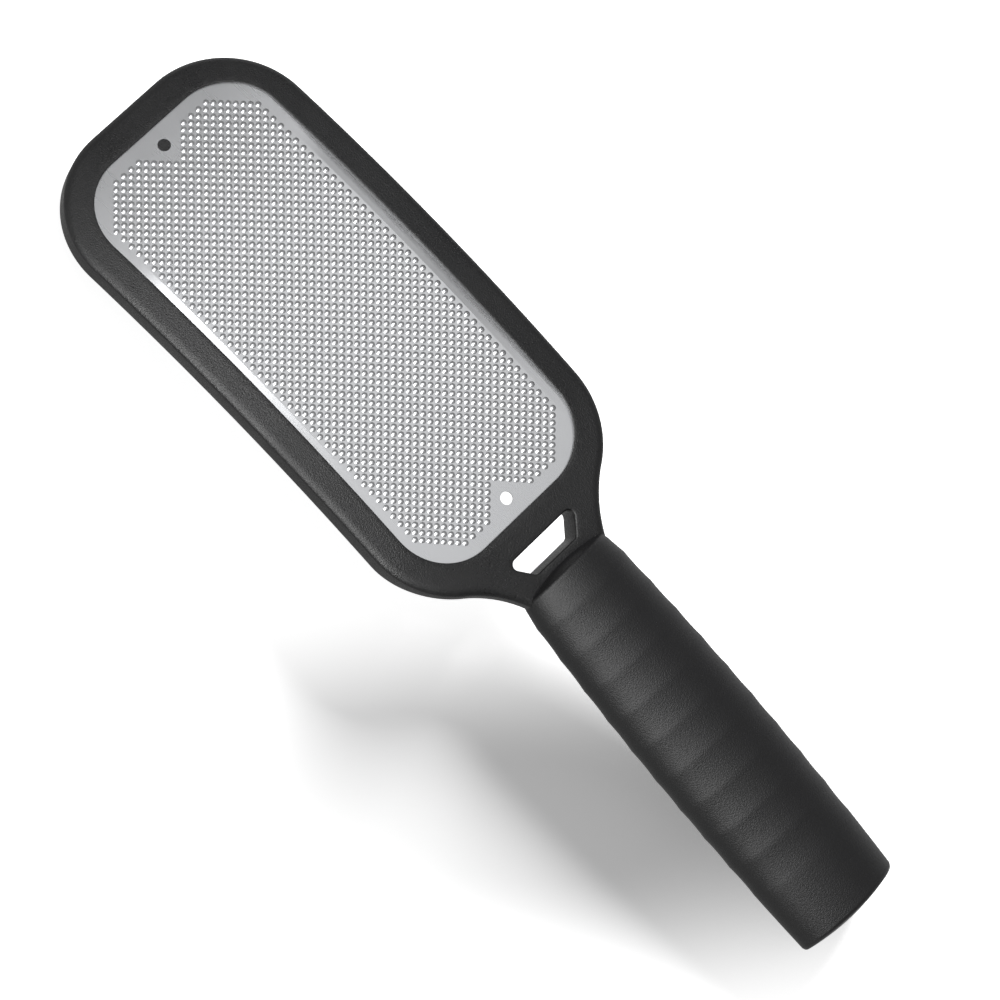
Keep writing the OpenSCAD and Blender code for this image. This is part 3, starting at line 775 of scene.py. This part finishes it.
def punched_steel(name):
    """Cold-rolled stainless: rolling lines 0.7 mm apart, clouds 18 mm wide and waves 12 mm wide."""
    cloud_mm = 18
    m, shader, place = new_finish(name)
    lines = add_node(m, "ShaderNodeMapping", {"Vector": place}, Scale=ROLL_PER_M)
    streak = add_node(m, "ShaderNodeTexNoise", {"Vector": lines.outputs["Vector"]}, Scale=1.0, Detail=2.0)
    cloud = add_node(m, "ShaderNodeTexNoise", {"Vector": place}, Scale=MM_PER_M / cloud_mm, Detail=3.0)
    mixed = add_node(m, "ShaderNodeMath", {0: streak.outputs["Fac"], 1: cloud.outputs["Fac"]},
                     operation="ADD")
    rough = add_node(m, "ShaderNodeMapRange", {"Value": mixed.outputs["Value"]},
                     From_Max=2.0, To_Min=0.24, To_Max=0.32)
    wave = add_node(m, "ShaderNodeTexNoise", {"Vector": place}, Scale=MM_PER_M / WAVE_MM, Detail=1.0)
    height = add_node(m, "ShaderNodeMath", {0: wave.outputs["Fac"], 1: WAVE_M, 2: bent_margin(m, place)},
                      operation="MULTIPLY_ADD")
    tilted = add_node(m, "ShaderNodeBump", {"Height": height.outputs["Value"]}, Strength=1.0, Distance=1.0)
    shader.inputs["Base Color"].default_value = linear("#cbccce")
    shader.inputs["Metallic"].default_value = 1.0
    m.node_tree.links.new(rough.outputs["Result"], shader.inputs["Roughness"])
    m.node_tree.links.new(tilted.outputs["Normal"], shader.inputs["Normal"])
    return m


dress(sheet, punched_steel("semi_polished_stainless"))
print("margins of the sheet bend down from", FLAT_HALF_M * MM_PER_M, "mm off the middle line")

# %% [markdown]
# ## Soft-touch rubber of the grip
# The sleeve is thermoplastic rubber, moulded over the tang in a second mould. It is duller than the
# frame, with the same fine grain, and hands wear its gloss unevenly. A velvet sheen is the usual
# way to show soft touch; on black rubber the photograph has none, so rough gloss and grain do it.

# %% Over-moulded black rubber
def soft_rubber(name):
    """Thermoplastic rubber: roughness 0.42 to 0.50 in clouds 25 mm wide, grain 0.36 mm wide in the bump."""
    grain_mm, cloud_mm, relief_m = 0.36, 25, 0.00012
    m, shader, place = new_finish(name)
    grain = add_node(m, "ShaderNodeTexNoise", {"Vector": place}, Scale=MM_PER_M / grain_mm, Detail=3.0)
    cloud = add_node(m, "ShaderNodeTexNoise", {"Vector": place}, Scale=MM_PER_M / cloud_mm, Detail=2.0)
    rough = add_node(m, "ShaderNodeMapRange", {"Value": cloud.outputs["Fac"]}, To_Min=0.42, To_Max=0.50)
    raised_grain = add_node(m, "ShaderNodeBump", {"Height": grain.outputs["Fac"]},
                            Strength=1.0, Distance=relief_m)
    shader.inputs["Base Color"].default_value = linear("#121213")
    shader.inputs["IOR"].default_value = 1.46
    m.node_tree.links.new(rough.outputs["Result"], shader.inputs["Roughness"])
    m.node_tree.links.new(raised_grain.outputs["Normal"], shader.inputs["Normal"])
    return m


dress(grip, soft_rubber("soft_touch_rubber"))
print("finishes:", [m.name for m in bpy.data.materials if m.users])

# %% [markdown]
# ## Floor and background
# A plain pale floor takes the shadow. White could come from stronger lamps, but then the object
# would be lit too brightly as well, so the floor glows, and only for camera rays. The glow is weak
# in one oval patch beside the grip, where the shadow is to be seen, and strong round it, where the
# photograph is white: there the glow is painted light that washes out the cast shadow. Rays from
# gloss or through clear matter see a steady share of the glow and of the world's white. From below
# the floor is clear, so that the underside can be looked at.

# %% Floor
FLOOR_HALF_M, FLOOR_Z_M, MIRROR_GLOW = 4.0, -0.0002, 0.35
PATCH_PLACE, PATCH_HALF = (0.0643, -0.0431, 0), (0.135, 0.053, 1)
# The outer glow is painted light: it washes out the file's cast shadow round the patch.
PATCH_GLOW, SHADOW_WASHING_GLOW = 0.24, 0.88


def ray_kinds(m):
    """Two sockets of 0 or 1: for camera rays, and for rays that gloss or a clear material sends on."""
    rays = add_node(m, "ShaderNodeLightPath")
    sent_on = add_node(m, "ShaderNodeMath", {
        0: rays.outputs["Is Glossy Ray"], 1: rays.outputs["Is Transmission Ray"]}, operation="MAXIMUM")
    return rays.outputs["Is Camera Ray"], sent_on.outputs["Value"]


def floor_glow(m, place, camera_ray, sent_on):
    """Glow: 0.24 in the patch rising to 0.88 round it for the camera, 0.35 for rays that are sent on. Round
    the patch the glow is painted light that washes out the cast shadow.
    """
    patch = add_node(m, "ShaderNodeMapping", {"Vector": place}, vector_type="TEXTURE",
                     Location=PATCH_PLACE, Rotation=(0, 0, math.pi / 4), Scale=PATCH_HALF)
    away = add_node(m, "ShaderNodeVectorMath", {0: patch.outputs["Vector"]}, operation="LENGTH")
    # Painted light: away from the patch the floor glows brighter and washes out the cast shadow.
    painted_light_wash = add_node(m, "ShaderNodeMapRange", {"Value": away.outputs["Value"]},
                      interpolation_type="SMOOTHSTEP", From_Min=0.25, From_Max=1.1,
                      To_Min=PATCH_GLOW, To_Max=SHADOW_WASHING_GLOW)
    to_camera = add_node(m, "ShaderNodeMath", {0: camera_ray, 1: painted_light_wash.outputs["Result"]},
                         operation="MULTIPLY")
    glow = add_node(m, "ShaderNodeMath", {0: sent_on, 1: MIRROR_GLOW, 2: to_camera.outputs["Value"]},
                    operation="MULTIPLY_ADD")
    return glow.outputs["Value"]


def white_paper():
    """Matt paper, white to the camera and grey to the light that bounces off it, clear from behind. Its glow
    round the shadow's patch is painted light over the cast shadow.
    """
    m, shader, place = new_finish("white_paper")
    camera_ray, sent_on = ray_kinds(m)
    tone = add_node(m, "ShaderNodeMix", {"Factor": camera_ray}, data_type="RGBA")
    tone.inputs["A"].default_value = linear("#909090")
    tone.inputs["B"].default_value = linear("#f4f4f4")
    shader.inputs["Roughness"].default_value = 0.9
    shader.inputs["Specular IOR Level"].default_value = 0.1
    shader.inputs["Emission Color"].default_value = linear("#ffffff")
    m.node_tree.links.new(tone.outputs["Result"], shader.inputs["Base Color"])
    m.node_tree.links.new(floor_glow(m, place, camera_ray, sent_on), shader.inputs["Emission Strength"])
    one_sided = add_node(m, "ShaderNodeMixShader", {
        "Fac": add_node(m, "ShaderNodeNewGeometry").outputs["Backfacing"], 1: shader.outputs["BSDF"],
        2: add_node(m, "ShaderNodeBsdfTransparent").outputs["BSDF"]})
    surface = m.node_tree.nodes["Material Output"].inputs["Surface"]
    m.node_tree.links.new(one_sided.outputs["Shader"], surface)
    return m


def pale_floor():
    """One large square under the file, with its corners 4 m off along X and Y."""
    mesh = bpy.data.meshes.new("paper_floor")
    signs = [(-1, -1), (1, -1), (1, 1), (-1, 1)]
    corners = [(x * FLOOR_HALF_M, y * FLOOR_HALF_M, FLOOR_Z_M) for x, y in signs]
    mesh.from_pydata(corners, [], [(0, 1, 2, 3)])
    mesh.materials.append(white_paper())
    floor = bpy.data.objects.new("paper_floor", mesh)
    bpy.context.scene.collection.objects.link(floor)
    return floor


print("floor:", pale_floor().name, "of", 2 * FLOOR_HALF_M, "m")

# %% World
WORLD_PLAIN, WORLD_WHITE, MIRROR_SHARE = 0.2, 1.0, 0.13
world = bpy.context.scene.world or bpy.data.worlds.new("studio")
bpy.context.scene.world = world
world.use_nodes = True
camera_ray, sent_on = ray_kinds(world)
seen = add_node(world, "ShaderNodeMath", {0: sent_on, 1: MIRROR_SHARE, 2: camera_ray},
                operation="MULTIPLY_ADD")
strength = add_node(world, "ShaderNodeMapRange", {"Value": seen.outputs["Value"]},
                    To_Min=WORLD_PLAIN, To_Max=WORLD_WHITE)
background = world.node_tree.nodes["Background"]
background.inputs["Color"].default_value = linear("#ffffff")
world.node_tree.links.new(strength.outputs["Result"], background.inputs["Strength"])
print("world lights at", WORLD_PLAIN, "and the camera sees it at", WORLD_WHITE)

# %% [markdown]
# ## Lamps
# Black plastic shows its form only by what it mirrors, so three large soft lamps are there for gloss
# alone: two at the left for the bright rims, and a wide dim one at the right for the steel. A fourth,
# smaller lamp lights all surfaces and lays the shadow to the lower left. One set of lamps for both
# would have to stand where either the highlights or the shadow would be on the wrong side.

# %% Lamps
def soft_lamp(name, place, aim, size, radiance, gloss=True):
    """Rectangular area lamp; its power in watts is pi times its area times how bright it looks, 1 is white.

    A lamp either shows in gloss, or lights the paper and lays the shadow on it."""
    lamp = bpy.data.lights.new(name, "AREA")
    lamp.shape = "RECTANGLE"
    lamp.size, lamp.size_y = size
    lamp.energy = math.pi * size[0] * size[1] * radiance
    obj = bpy.data.objects.new(name, lamp)
    bpy.context.scene.collection.objects.link(obj)
    obj.location = place
    obj.rotation_euler = (Vector(aim) - Vector(place)).to_track_quat("-Z", "Y").to_euler()
    obj.visible_glossy = gloss
    obj.visible_diffuse = not gloss
    print(f"{name}: {lamp.energy:.1f} W")
    return obj


soft_lamp("key_left", (-0.36, -0.38, 1.5), (-0.05, 0, 0.02), (1.3, 0.64), 6.6)
soft_lamp("low_left", (-0.2, -1.3, 1.0), (0, 0, 0.02), (1.2, 1.0), 7.5)
soft_lamp("fill_right", (0.13, 0.45, 1.5), (-0.05, 0, 0.02), (2.0, 0.5), 0.7)
soft_lamp("shadow_right", (-0.58, 1.25, 0.82), (0, 0, 0), (0.6, 0.6), 38, gloss=False)

# %% [markdown]
# ## Camera
# The photograph was taken from above the tip, a little to the lower left, with a long lens. Its
# place, turn and focal length were found by laying the head's outline over the photograph.
# The focal length is in pixels of a square picture that is 1000 pixels wide.

# %% Camera
HALF_PICTURE_PX, FOCAL_PX = 500, 5197.1
CAMERA_PLACE = (-0.129087, -0.448049, 1.248576)
CAMERA_TURN_DEG = (9.79177, -18.40857, 45.59355)

camera = bpy.data.cameras.new("photo_camera")
camera.sensor_fit = "HORIZONTAL"
camera.angle = 2 * math.atan(HALF_PICTURE_PX / FOCAL_PX)
camera_object = bpy.data.objects.new("photo_camera", camera)
bpy.context.scene.collection.objects.link(camera_object)
camera_object.location = CAMERA_PLACE
camera_object.rotation_euler = [math.radians(a) for a in CAMERA_TURN_DEG]
bpy.context.scene.camera = camera_object
bpy.context.scene.view_settings.view_transform = "Standard"
print("camera sees", round(math.degrees(camera.angle), 2), "degrees")
